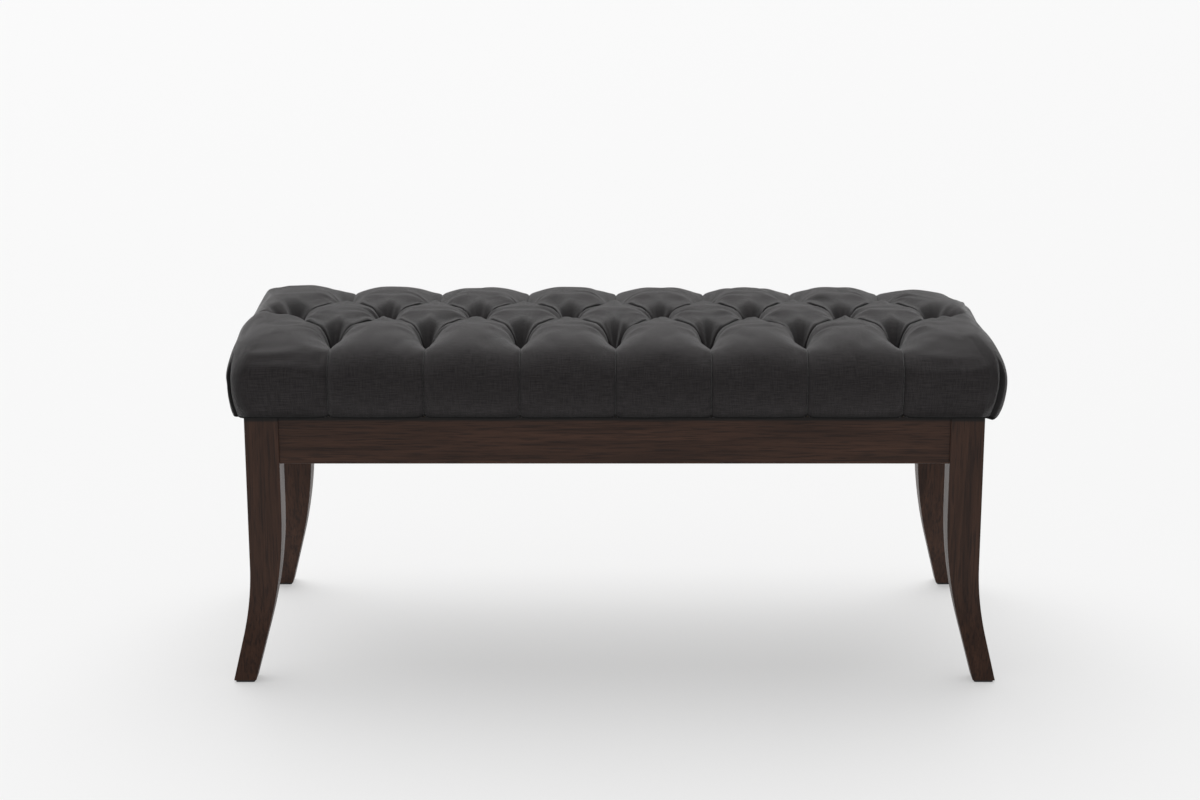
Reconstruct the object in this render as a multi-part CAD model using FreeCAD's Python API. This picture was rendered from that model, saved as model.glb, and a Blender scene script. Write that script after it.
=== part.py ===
import FreeCAD, Part
import math
import os

from FreeCAD import Vector

# Upholstered bench: a deep-buttoned seat pad on a wooden frame of four sabre legs and four aprons.
# Millimetres. X runs along the bench, Y from front (-) to back (+), Z up from the floor.
# The origin is on the floor, under the middle of the bench.

# Overall size of the seat pad, at the widest height of its bulging sides
pad_length = 1000.0
pad_depth = 400.0

# Frame
end_overhang = 22.0             # pad past the legs' tops at each end
face_overhang = 17.0            # the same at front and back
frame_height = 356.0            # floor to the top of legs and aprons
edge_round = 1.5                # eased edge of every visible wooden arris

# Legs: square at the top, sawn to the same curve on the X and the Y face
leg_block = 44.0                # side of the square top
outer_bend_top = 152.0          # height where the outer face leaves the vertical
outer_bend_bottom = 58.0        # height where its curve ends and it runs straight to the foot
outer_slope = 12.9              # degrees from the vertical at the foot
inner_bend_top = 225.0
inner_bend_bottom = 75.0
inner_slope = 14.6
leg_corner_flat = 10.0          # chamfer of the inner corner, where the corner block faces it

# Glides under the feet
glide_side = 25.0
glide_thickness = 3.0
glide_corner_radius = 3.0
nail_radius = 1.25
nail_grip = 14.0                # length of nail inside the foot
nail_head_radius = 4.0
nail_head_height = 1.0
nail_head_recess = 0.6          # how far the head sits above the floor

# Aprons
apron_height = 63.0
apron_thickness = 20.0
apron_setback = 3.0             # apron face behind the leg face
dowel_radius = 4.0
dowel_length = 36.0
dowel_spread = 34.0             # height between the two dowels of a joint
dowel_end_clearance = 1.0

# Centre rail between the long aprons
rail_thickness = 22.0
rail_height = 45.0
rail_dowel_length = 30.0
rail_dowel_spread = 22.0

# Corner blocks with a hanger bolt into each leg
corner_block_thickness = 25.0
corner_block_height = 50.0
corner_block_gap = 2.0          # left open so that the bolt can pull the leg home
bolt_radius = 4.0
bolt_grip = 34.0                # length inside the leg
bolt_tail = 14.0                # length past the block, for washer and nut
bolt_hole_clearance = 0.5
washer_radius = 10.0
washer_thickness = 1.6
nut_across_flats = 13.0
nut_height = 6.5

# Screws: through the corner blocks into the aprons, and up into the seat board
side_screw_radius = 2.0
side_screw_head_radius = 4.0
side_screw_head_height = 2.4
side_screw_grip = 14.0          # length inside the apron
side_screw_web = 10.0           # block left under the head
side_screw_spread = 28.0        # height between two screws
side_screw_inset = 13.0         # screw axis from the long end of the block
seat_screw_radius = 2.25
seat_screw_head_radius = 4.5
seat_screw_head_height = 2.8
seat_screw_grip = 12.0          # length inside the seat board
seat_screw_web = 28.0           # block left above the head
seat_screw_offset = 23.0        # beside the hanger bolt, along the block
head_clearance = 0.5            # round a screw head in its counterbore

# Seat pad
pad_height = 102.2              # from the pad's underside to its crown
widest_rise = 51.2              # from the underside to the widest line
end_bulge = 8.0                 # the widest line past the bottom edge, at each end
face_bulge = 7.0                # the same at front and back
end_shoulder = 36.0             # how far in from the widest line the crown is level, at each end
face_shoulder = 95.0            # the same at front and back
pad_corner_radius = 30.0
pad_corner_margin = 1.0         # the corner rounding starts this far outside the widest line
shoulder_crease = 3.0           # degrees left between the shoulder's end and the flat crown
cover_thickness = 2.0           # upholstery fabric with its lining
hem_width = 28.0                # fabric turned under the board
hem_thickness = 1.5
wadding_thickness = 6.0
board_thickness = 15.0
board_edge_wrap = 5.0           # wadding between the board's edge and the cover, at the bottom
board_corner_radius = 18.0
dust_cover_thickness = 0.8
dust_cover_margin = 12.0        # inside the bottom edge of the pad

# Deep buttoning: three staggered rows
long_row_count = 8              # buttons of the middle row, and one fewer in front and back
end_margin = 69.5               # from the ends of the pad to the outer buttons of the middle row
face_margin = 105.0             # from the front and back of the pad to the outer rows
fold_depth = 9.0                # fold between two buttons, below the crown
fold_half_width = 20.0
edge_fold_drop = 12.0           # how far a fold falls towards the edge of the pad
pit_seat = 40.0                 # button seat below the crown
pit_floor_radius = 12.0
pit_slope = 30.0                # degrees of the pit wall from the vertical
pleat_width = 1.6               # pleat line down the sides of the pad
pleat_depth = 1.0
pleat_rise = 76.0               # from the pad's underside to the top of a pleat line
corner_pleat_rise = 53.0        # the same at the corner folds
corner_pleat_inset = 15.0       # corner fold from the front or back of the pad
button_radius = 11.0
button_rim = 2.0
button_dome = 5.5
twine_radius = 1.0
twine_hole_clearance = 1.5
anchor_radius = 6.0
anchor_thickness = 1.2

X = Vector(1, 0, 0)
Y = Vector(0, 1, 0)
Z = Vector(0, 0, 1)
ORIGIN = Vector(0, 0, 0)
half_length = pad_length / 2 - end_overhang
half_depth = pad_depth / 2 - face_overhang
block_inner_x = half_length - leg_block
block_inner_y = half_depth - leg_block
apron_bottom = frame_height - apron_height
apron_axis = frame_height - apron_height / 2
apron_face_x = half_length - apron_setback
apron_face_y = half_depth - apron_setback
apron_back_x = apron_face_x - apron_thickness
apron_back_y = apron_face_y - apron_thickness
pad_bottom = frame_height + dust_cover_thickness
board_bottom = pad_bottom + hem_thickness
board_top = board_bottom + board_thickness
pad_widest = pad_bottom + widest_rise
pad_top = pad_bottom + pad_height
tuft_pitch = (pad_length - 2 * end_margin) / (long_row_count - 1)
tuft_row_gap = pad_depth / 2 - face_margin
# Everything is modelled in the corner of +X and +Y and mirrored into the other three.
CORNERS = {
    "rear_right": (1, 1),
    "rear_left": (-1, 1),
    "front_right": (1, -1),
    "front_left": (-1, -1),
}


def polygon(points):
    """A face with straight sides through these points."""
    return Part.Face(Part.makePolygon(points + points[:1]))


def box(low, high):
    """A box between two opposite corners."""
    size = high - low
    return Part.makeBox(size.x, size.y, size.z, low)


def cylinder(radius, start, end):
    return Part.makeCylinder(radius, (end - start).Length, start, end - start)


def turned(outline, start, axis):
    """A solid of revolution: outline is (radius, height) pairs from the axis out and back."""
    face = polygon([Vector(r, 0, h) for r, h in outline])
    solid = face.revolve(ORIGIN, Z, 360)
    solid.Placement = FreeCAD.Placement(start, FreeCAD.Rotation(Z, axis))
    return solid


def to_corner(shape, sign_x, sign_y):
    """The mirror image of a +X +Y shape in the corner with these signs."""
    if sign_x < 0:
        shape = shape.mirror(ORIGIN, X)
    if sign_y < 0:
        shape = shape.mirror(ORIGIN, Y)
    return shape


def four(shape):
    return [to_corner(shape, sx, sy) for sx, sy in CORNERS.values()]


def rounded_plate(length, depth, radius, low_z, high_z):
    """A flat plate centred on Z, with round corners."""
    plate = Part.makeBox(length, depth, high_z - low_z, Vector(-length / 2, -depth / 2, low_z))
    upright = [e for e in plate.Edges if abs(e.tangentAt(e.FirstParameter).z) > 0.99]
    return plate.makeFillet(radius, upright)


def foot_reach(bend_top, bend_bottom, slope, height):
    """How far a bent face has moved out from the vertical at a height below its curve."""
    angle = math.radians(slope)
    along_arc = (bend_top - bend_bottom) * math.tan(angle / 2)
    return along_arc + (bend_bottom - height) * math.tan(angle)


def bent_line(place, bend_top, bend_bottom, slope):
    """Edges of one leg face from the top down: straight, a tangent arc, and straight to the foot."""
    angle = math.radians(slope)
    radius = (bend_top - bend_bottom) / math.sin(angle)

    def on_arc(turn):
        return place(radius * (1 - math.cos(turn)), bend_top - radius * math.sin(turn))

    foot = place(foot_reach(bend_top, bend_bottom, slope, glide_thickness), glide_thickness)
    return [
        Part.LineSegment(place(0, frame_height), on_arc(0)).toShape(),
        Part.Arc(on_arc(0), on_arc(angle / 2), on_arc(angle)).toShape(),
        Part.LineSegment(on_arc(angle), foot).toShape(),
    ]


def leg_outline(place):
    """The sabre outline of a leg; place(reach, height) puts a point into the sawing plane."""
    outer = bent_line(place, outer_bend_top, outer_bend_bottom, outer_slope)
    inner = bent_line(
        lambda reach, height: place(reach - leg_block, height),
        inner_bend_top, inner_bend_bottom, inner_slope,
    )
    top = Part.LineSegment(place(0, frame_height), place(-leg_block, frame_height)).toShape()
    foot = Part.LineSegment(outer[-1].Vertexes[-1].Point, inner[-1].Vertexes[-1].Point).toShape()
    return Part.Face(Part.Wire(Part.__sortEdges__(outer + inner + [top, foot])))


def is_long_arris(edge):
    """True for the lengthwise edges of a leg, which are eased; the end edges stay sharp."""
    low, high = sorted(v.Point.z for v in edge.Vertexes)
    return high - low > edge_round


def sawn_leg():
    """The bare leg: the same outline sawn through from two faces at right angles."""
    from_front = leg_outline(lambda reach, height: Vector(half_length + reach, 0, height))
    from_side = leg_outline(lambda reach, height: Vector(0, half_depth + reach, height))
    leg = from_front.extrude(Y * pad_depth).common(from_side.extrude(X * pad_length))
    return leg.Solids[0].makeFillet(edge_round, [e for e in leg.Edges if is_long_arris(e)])


# The corner joint lies on the diagonal of the leg block; "inwards" points to the bench's middle.
inwards = Vector(-1, -1, 0) / math.sqrt(2)
along_block = Vector(1, -1, 0) / math.sqrt(2)
flat_middle = Vector(
    block_inner_x + leg_corner_flat / 2, block_inner_y + leg_corner_flat / 2, apron_axis
)
block_outer_middle = flat_middle + inwards * corner_block_gap
block_inner_middle = block_outer_middle + inwards * corner_block_thickness


def corner_flat_cut():
    """The wedge cut off the leg's inner corner, level with the aprons."""
    x, y, c = block_inner_x, block_inner_y, leg_corner_flat
    wedge = polygon([Vector(x, y, 0), Vector(x + c, y, 0), Vector(x, y + c, 0)])
    return wedge.translated(Z * apron_bottom).extrude(Z * apron_height)


def hanger_bolt_line(low, high, radius):
    """A round bar on the bolt's axis; low and high are measured inwards from the leg's flat."""
    return cylinder(radius, flat_middle + inwards * low, flat_middle + inwards * high)


def apron_dowel(end, direction, length, height):
    """A dowel centred on the joint face at end, which it crosses at right angles."""
    centre = Vector(end.x, end.y, height)
    return cylinder(dowel_radius, centre - direction * length / 2, centre + direction * length / 2)


def joint_dowels(end, direction, length, spread, extra=0.0):
    """Two dowels one above the other, or with extra the holes that they seat in."""
    whole = length + 2 * extra
    return [apron_dowel(end, direction, whole, apron_axis + side * spread / 2) for side in (-1, 1)]


long_joint = Vector(block_inner_x, (apron_face_y + apron_back_y) / 2, 0)
short_joint = Vector((apron_face_x + apron_back_x) / 2, block_inner_y, 0)


def corner_dowels(extra=0.0):
    """The dowels of both apron joints at one leg."""
    return (
        joint_dowels(long_joint, X, dowel_length, dowel_spread, extra)
        + joint_dowels(short_joint, Y, dowel_length, dowel_spread, extra)
    )


foot_inner = leg_block - foot_reach(inner_bend_top, inner_bend_bottom, inner_slope, glide_thickness)
foot_outer = foot_reach(outer_bend_top, outer_bend_bottom, outer_slope, glide_thickness)
foot_shift = (foot_outer - foot_inner) / 2
foot_centre = Vector(half_length + foot_shift, half_depth + foot_shift, 0)


def glide():
    """A plastic glide with a counterbored hole for its nail."""
    pad = rounded_plate(glide_side, glide_side, glide_corner_radius, 0, glide_thickness)
    pad = pad.cut(Part.makeCylinder(nail_radius, glide_thickness))
    pad = pad.cut(Part.makeCylinder(nail_head_radius, nail_head_recess + nail_head_height))
    return pad.translated(foot_centre)


def glide_nail():
    head_top = nail_head_recess + nail_head_height
    tip = glide_thickness + nail_grip
    point = 2 * nail_radius
    outline = [
        (0, nail_head_recess), (nail_head_radius, nail_head_recess), (nail_head_radius, head_top),
        (nail_radius, head_top), (nail_radius, tip - point), (0, tip),
    ]
    return turned(outline, foot_centre, Z)


def finished_leg():
    """The leg with its flat, dowel holes, bolt hole and nail hole."""
    leg = sawn_leg().cut(corner_flat_cut())
    nail_hole = Part.makeCylinder(nail_radius, nail_grip, foot_centre + Z * glide_thickness)
    bolt_hole = hanger_bolt_line(-bolt_grip, 0, bolt_radius)
    return leg.cut(corner_dowels(dowel_end_clearance) + [bolt_hole, nail_hole])


def corner_block():
    """The wedge-ended block glued across the corner, without its holes."""
    low = frame_height - corner_block_height

    def end_at(middle, face_x=None, face_y=None):
        """Where the line through middle, along the block, meets an apron's back."""
        reach = middle.x + middle.y
        if face_x is not None:
            return Vector(face_x, reach - face_x, low)
        return Vector(reach - face_y, face_y, low)

    plan = polygon([
        end_at(block_outer_middle, face_y=apron_back_y),
        end_at(block_outer_middle, face_x=apron_back_x),
        end_at(block_inner_middle, face_x=apron_back_x),
        end_at(block_inner_middle, face_y=apron_back_y),
    ])
    return plan.extrude(Z * corner_block_height)


def swap_xy(shape):
    """The mirror image across the diagonal of the corner, for the other apron's screws."""
    diagonal = Vector(block_inner_x, block_inner_y, 0)
    return shape.mirror(diagonal, along_block)


# Head seat of a side screw: above the long apron's back, on an axis near the block's long end.
side_screw_x = block_inner_middle.x + block_inner_middle.y - apron_back_y + side_screw_inset
side_screw_height = frame_height - corner_block_height / 2


def side_screws():
    """Two screws through the block into the long apron."""
    head = side_screw_head_height
    tip = head + side_screw_web + side_screw_grip
    point = 2 * side_screw_radius
    outline = [
        (0, 0), (side_screw_head_radius * 0.6, 0), (side_screw_head_radius, head * 0.6),
        (side_screw_head_radius, head), (side_screw_radius, head), (side_screw_radius, tip - point),
        (0, tip),
    ]
    start_y = apron_back_y - side_screw_web - head
    heights = [side_screw_height + side * side_screw_spread / 2 for side in (-1, 1)]
    return [turned(outline, Vector(side_screw_x, start_y, height), Y) for height in heights]


def side_screw_holes():
    """The counterbores and shank holes of those two screws, through block and apron."""
    holes = []
    for side in (-1, 1):
        at = Vector(side_screw_x, apron_back_y, side_screw_height + side * side_screw_spread / 2)
        seat = at - Y * side_screw_web
        holes.append(cylinder(side_screw_head_radius + head_clearance, seat - Y * leg_block, seat))
        holes.append(cylinder(side_screw_radius, seat, at + Y * side_screw_grip))
    return holes


block_middle = (block_outer_middle + block_inner_middle) / 2
corner_seat_screw = block_middle + along_block * seat_screw_offset
rail_seat_screw = Vector(0, tuft_row_gap / 2, 0)     # between two rows of twines


def seat_screw(at, web):
    """A screw from below, through web of wood and the pad's hem, into the board."""
    low = frame_height - web
    tip = board_bottom + seat_screw_grip - low
    point = 2 * seat_screw_radius
    outline = [
        (0, -seat_screw_head_height), (seat_screw_head_radius * 0.6, -seat_screw_head_height),
        (seat_screw_head_radius, -seat_screw_head_height * 0.4), (seat_screw_head_radius, 0),
        (seat_screw_radius, 0), (seat_screw_radius, tip - point), (0, tip),
    ]
    return turned(outline, Vector(at.x, at.y, low), Z)


def seat_screw_hole(at, web):
    seat = Vector(at.x, at.y, frame_height - web)
    counterbore = Part.makeCylinder(seat_screw_head_radius + head_clearance, frame_height, seat, -Z)
    shank = Part.makeCylinder(seat_screw_radius, board_bottom + seat_screw_grip - seat.z, seat)
    return [counterbore, shank]


rail_web = rail_height - 2 * seat_screw_head_height
# The long aprons meet a screw from each block; the short aprons get the mirrored pair.
corner_screws = side_screws() + [swap_xy(s) for s in side_screws()]
corner_screw_holes = side_screw_holes() + [swap_xy(h) for h in side_screw_holes()]


def finished_corner_block():
    bolt_end = corner_block_gap + corner_block_thickness
    bolt_hole = hanger_bolt_line(0, bolt_end, bolt_radius + bolt_hole_clearance)
    return corner_block().cut(
        corner_screw_holes + [bolt_hole] + seat_screw_hole(corner_seat_screw, seat_screw_web)
    )


def hanger_bolt():
    """Wood thread into the leg, plain and machine thread through the block."""
    tail = corner_block_gap + corner_block_thickness + bolt_tail
    point = 2 * bolt_radius
    outline = [
        (0, 0), (bolt_radius, point), (bolt_radius, bolt_grip + tail - edge_round),
        (bolt_radius - edge_round, bolt_grip + tail), (0, bolt_grip + tail),
    ]
    return turned(outline, flat_middle - inwards * bolt_grip, inwards)


def bolt_washer():
    outline = [
        (bolt_radius, 0), (washer_radius, 0), (washer_radius, washer_thickness),
        (bolt_radius, washer_thickness),
    ]
    return turned(outline, block_inner_middle, inwards)


def bolt_nut():
    """A hexagon nut with its corners turned back at both ends."""
    start = block_inner_middle + inwards * washer_thickness
    across_corners = nut_across_flats / math.cos(math.pi / 6) / 2
    corners = [
        Vector(across_corners * math.cos(k * math.pi / 3), across_corners * math.sin(k * math.pi / 3), 0)
        for k in range(6)
    ]
    nut = polygon(corners).extrude(Z * nut_height).cut(Part.makeCylinder(bolt_radius, nut_height))
    chamfer = across_corners - nut_across_flats / 2
    turned_blank = turned([
        (0, 0), (nut_across_flats / 2, 0), (across_corners, chamfer),
        (across_corners, nut_height - chamfer), (nut_across_flats / 2, nut_height), (0, nut_height),
    ], ORIGIN, Z)
    nut = nut.common(turned_blank)
    nut.Placement = FreeCAD.Placement(start, FreeCAD.Rotation(Z, inwards))
    return nut


def eased(shape, low_z):
    """Rounds the long bottom arrises of an apron or rail."""
    longest = max(e.Length for e in shape.Edges)
    long_edges = [e for e in shape.Edges if e.Length > longest - edge_round]
    bottom = [e for e in long_edges if e.BoundBox.ZMax < low_z + edge_round]
    return shape.makeFillet(edge_round, bottom)


rail_end = Vector(0, apron_back_y, 0)
rail_axis = frame_height - rail_height / 2


def rail_dowels(extra=0.0):
    """The dowels at the rear end of the centre rail."""
    whole = rail_dowel_length + 2 * extra
    # Most of a dowel is in the rail, because the apron behind it is thin.
    centre_y = apron_back_y + apron_thickness / 2 - rail_dowel_length / 2 + dowel_end_clearance
    dowels = []
    for side in (-1, 1):
        centre = Vector(0, centre_y, rail_axis + side * rail_dowel_spread / 2)
        dowels.append(cylinder(dowel_radius, centre - Y * whole / 2, centre + Y * whole / 2))
    return dowels


def long_apron():
    """The rear apron; the front one is its mirror image."""
    board = box(
        Vector(-block_inner_x, apron_back_y, apron_bottom), Vector(block_inner_x, apron_face_y, frame_height)
    )
    joint_holes = joint_dowels(long_joint, X, dowel_length, dowel_spread, dowel_end_clearance)
    holes = joint_holes + side_screw_holes()
    holes += [hole.mirror(ORIGIN, X) for hole in holes]
    return eased(board, apron_bottom).cut(holes + rail_dowels(dowel_end_clearance))


def short_apron():
    """The right-hand apron; the left one is its mirror image."""
    board = box(
        Vector(apron_back_x, -block_inner_y, apron_bottom), Vector(apron_face_x, block_inner_y, frame_height)
    )
    joint_holes = joint_dowels(short_joint, Y, dowel_length, dowel_spread, dowel_end_clearance)
    holes = joint_holes + [swap_xy(h) for h in side_screw_holes()]
    holes += [hole.mirror(ORIGIN, Y) for hole in holes]
    return eased(board, apron_bottom).cut(holes)


def centre_rail():
    rail = box(
        Vector(-rail_thickness / 2, -apron_back_y, frame_height - rail_height),
        Vector(rail_thickness / 2, apron_back_y, frame_height),
    )
    holes = rail_dowels(dowel_end_clearance) + seat_screw_hole(rail_seat_screw, rail_web)
    holes += [hole.mirror(ORIGIN, Y) for hole in holes]
    return rail.cut(holes)


# Places of the buttons: the long middle row, and a row half a pitch across in front and behind
def button_row(count, y):
    first = -(count - 1) / 2 * tuft_pitch
    return [Vector(first + k * tuft_pitch, y, 0) for k in range(count)]


front_row = button_row(long_row_count - 1, -tuft_row_gap)
middle_row = button_row(long_row_count, 0)
rear_row = button_row(long_row_count - 1, tuft_row_gap)
button_places = front_row + middle_row + rear_row


def pad_section(half_widest, bulge, shoulder, inset, place):
    """The pad's cross-section, inset all round but open at the bottom, which a layer cuts to height."""
    side_radius = (widest_rise ** 2 + bulge ** 2) / (2 * bulge)
    lean = math.asin(widest_rise / side_radius)
    widest = half_widest - inset

    def on_side(turn, sign):
        across = half_widest - side_radius + (side_radius - inset) * math.cos(turn)
        return place(sign * across, pad_widest - (side_radius - inset) * math.sin(turn))

    def shoulder_arc(sign):
        """Most of a quarter ellipse, from the widest line up to the crown just before it is level."""
        level = math.radians(shoulder_crease)
        rise = (pad_top - inset - pad_widest) / math.cos(level)
        centre = place(sign * (half_widest - shoulder), pad_widest)
        side_end, top_end = place(sign * widest, pad_widest), centre + Z * rise
        if widest - half_widest + shoulder >= rise:
            ellipse = Part.Ellipse(side_end, top_end, centre)
            return Part.ArcOfEllipse(ellipse, 0, math.pi / 2 - level).toShape()
        ellipse = Part.Ellipse(top_end, side_end, centre)
        return Part.ArcOfEllipse(ellipse, level, math.pi / 2).toShape()

    edges = []
    crown_ends = []
    for sign in (-1, 1):
        edges.append(Part.Arc(on_side(lean, sign), on_side(lean / 2, sign), on_side(0, sign)).toShape())
        arc = shoulder_arc(sign)
        edges.append(arc)
        crown_ends.append(max((v.Point for v in arc.Vertexes), key=lambda point: point.z))
    edges.append(Part.LineSegment(*crown_ends).toShape())
    edges.append(Part.LineSegment(on_side(lean, -1), on_side(lean, 1)).toShape())
    return Part.Face(Part.Wire(Part.__sortEdges__(edges)))


def plain_pad(inset, low_z):
    """The untufted pad: its end view, its front view and its rounded plan, all intersected."""
    end_view = pad_section(
        pad_depth / 2, face_bulge, face_shoulder, inset, lambda across, z: Vector(-pad_length, across, z)
    )
    front_view = pad_section(
        pad_length / 2, end_bulge, end_shoulder, inset, lambda across, z: Vector(across, -pad_depth, z)
    )
    outside = 2 * (pad_corner_margin - inset)
    plan = rounded_plate(
        pad_length + outside, pad_depth + outside, pad_corner_radius - inset, low_z, pad_top
    )
    # Both runs pass well beyond the pad, so that neither ends on the other's widest line.
    lengthwise = end_view.extrude(X * 2 * pad_length)
    crosswise = front_view.extrude(Y * 2 * pad_depth)
    return lengthwise.common(crosswise).common(plan)


def fold_tool(start, end, start_depth, end_depth, inset):
    """A V-shaped trench under the crown from start to end, moved so that its walls lie inset deeper."""
    wall = math.atan(fold_half_width / fold_depth)
    sink = inset / math.sin(wall)
    run = Vector(end.x - start.x, end.y - start.y, start_depth - end_depth)
    across = Vector(-run.y, run.x, 0).normalize()
    bottom = Vector(start.x, start.y, pad_top - start_depth - sink)
    height = fold_depth + edge_fold_drop + sink
    half = height * math.tan(wall)
    top = bottom + Z * height
    return polygon([bottom, top + across * half, top - across * half]).extrude(run)


def folds(inset):
    """The diagonal folds between neighbouring buttons, and those that run off over the pad's edges."""
    tools = []
    for row in (front_row, rear_row):
        for button in row:
            for side in (-1, 1):
                neighbour = Vector(button.x + side * tuft_pitch / 2, 0, 0)
                tools.append(fold_tool(button, neighbour, fold_depth, fold_depth, inset))
            edge = Vector(button.x, math.copysign(pad_depth / 2 + cover_thickness, button.y), 0)
            tools.append(fold_tool(button, edge, fold_depth, fold_depth + edge_fold_drop, inset))
    for button in (middle_row[0], middle_row[-1]):
        edge = Vector(math.copysign(pad_length / 2 + cover_thickness, button.x), 0, 0)
        tools.append(fold_tool(button, edge, fold_depth, fold_depth + edge_fold_drop, inset))
    return tools


def pits(inset):
    """The tapered pit over each button, its wall and floor moved outwards by inset."""
    slope = math.radians(pit_slope)
    wall_shift = inset / math.cos(slope)
    low_radius = pit_floor_radius + wall_shift - inset * math.tan(slope)
    high_radius = pit_floor_radius + wall_shift + pit_seat * math.tan(slope)
    floor = pad_top - pit_seat - inset
    return [
        Part.makeCone(low_radius, high_radius, pit_seat + inset, Vector(at.x, at.y, floor))
        for at in button_places
    ]


def tufted_pad(inset, low_z):
    """The buttoned form that cover, wadding and foam share, inset by what lies outside the layer."""
    return plain_pad(inset, low_z).cut(folds(inset) + pits(inset))


def twine_holes(radius):
    low = pad_bottom
    return [Part.makeCylinder(radius, pad_top - low, Vector(at.x, at.y, low)) for at in button_places]


def pleat_cuts():
    """Shallow lines where the fabric is folded: under each edge button, and at the four corners."""
    half_width = Vector(pleat_width / 2, pleat_width / 2, 0)
    starts = []
    for at in front_row + rear_row:
        starts.append((at, Vector(at.x, math.copysign(pad_depth, at.y), 0), pleat_rise))
    for sign in (-1, 1):
        for y, rise in (
            (0, pleat_rise), (corner_pleat_inset - pad_depth / 2, corner_pleat_rise),
            (pad_depth / 2 - corner_pleat_inset, corner_pleat_rise),
        ):
            starts.append((Vector(0, y, 0), Vector(sign * pad_length, y, 0), rise))
    skin = plain_pad(pleat_depth, pad_bottom)
    cuts = []
    for start, end, rise in starts:
        low = Vector(min(start.x, end.x), min(start.y, end.y), pad_bottom)
        high = Vector(max(start.x, end.x), max(start.y, end.y), pad_bottom + rise)
        cuts.append(box(low - half_width, high + half_width).cut(skin))
    return cuts


hem_opening_x = pad_length / 2 - end_bulge - hem_width
hem_opening_y = pad_depth / 2 - face_bulge - hem_width


def seat_cover():
    """The fabric shell, open under the board inside its turned-under hem."""
    inside = tufted_pad(cover_thickness, board_bottom)
    corner = Vector(hem_opening_x, hem_opening_y, 0)
    opening = box(Z * pad_bottom - corner, Z * board_bottom + corner)
    shell = tufted_pad(0, pad_bottom).cut([inside, opening])
    return shell.cut(pleat_cuts() + twine_holes(twine_radius))


def plain_board():
    """The outline of the plywood base, without its holes."""
    length = pad_length - 2 * (end_bulge + cover_thickness + board_edge_wrap)
    depth = pad_depth - 2 * (face_bulge + cover_thickness + board_edge_wrap)
    return rounded_plate(length, depth, board_corner_radius, board_bottom, board_top)


def seat_screw_shanks():
    """The holes of all the seat screws' shanks, as they pass through dust cover and board."""
    holes = []
    for at, web in ((corner_seat_screw, seat_screw_web), (rail_seat_screw, rail_web)):
        holes += four(seat_screw_hole(at, web)[1])
    return holes


def seat_board():
    """The plywood base with holes for the twines and for the seat screws."""
    return plain_board().cut(seat_screw_shanks() + twine_holes(twine_radius + twine_hole_clearance))


def foam():
    """The foam block on the board, under cover and wadding."""
    block = tufted_pad(cover_thickness + wadding_thickness, board_top)
    return block.cut(twine_holes(twine_radius + twine_hole_clearance))


def wadding(foam_block):
    """The soft wrap between cover and foam, which also pads the board's edge."""
    layer = tufted_pad(cover_thickness, board_bottom).cut([plain_board(), foam_block])
    return layer.cut(twine_holes(twine_radius + twine_hole_clearance))


def covered_button(at):
    """A fabric-covered button: a rim and a flat dome."""
    seat = pad_top - pit_seat
    outline = [
        (0, 0), (button_radius - button_rim / 2, 0), (button_radius, button_rim),
        (button_radius * 0.8, (button_rim + button_dome) / 2 + 1), (button_radius * 0.45, button_dome),
        (0, button_dome + 0.5),
    ]
    return turned(outline, Vector(at.x, at.y, seat), Z)


def twine(at):
    """The tie from the button's shank down to its anchor under the board."""
    top = pad_top - pit_seat
    return Part.makeCylinder(twine_radius, top - board_bottom + anchor_thickness,
                             Vector(at.x, at.y, board_bottom - anchor_thickness))


def twine_anchor(at):
    outline = [
        (twine_radius, 0), (anchor_radius, 0), (anchor_radius, anchor_thickness),
        (twine_radius, anchor_thickness),
    ]
    return turned(outline, Vector(at.x, at.y, board_bottom - anchor_thickness), Z)


def dust_cover():
    """The thin black sheet that closes the underside, trapped between pad and frame."""
    length = pad_length - 2 * (end_bulge + dust_cover_margin)
    depth = pad_depth - 2 * (face_bulge + dust_cover_margin)
    sheet = rounded_plate(length, depth, board_corner_radius, frame_height, pad_bottom)
    return sheet.cut(seat_screw_shanks())


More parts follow.
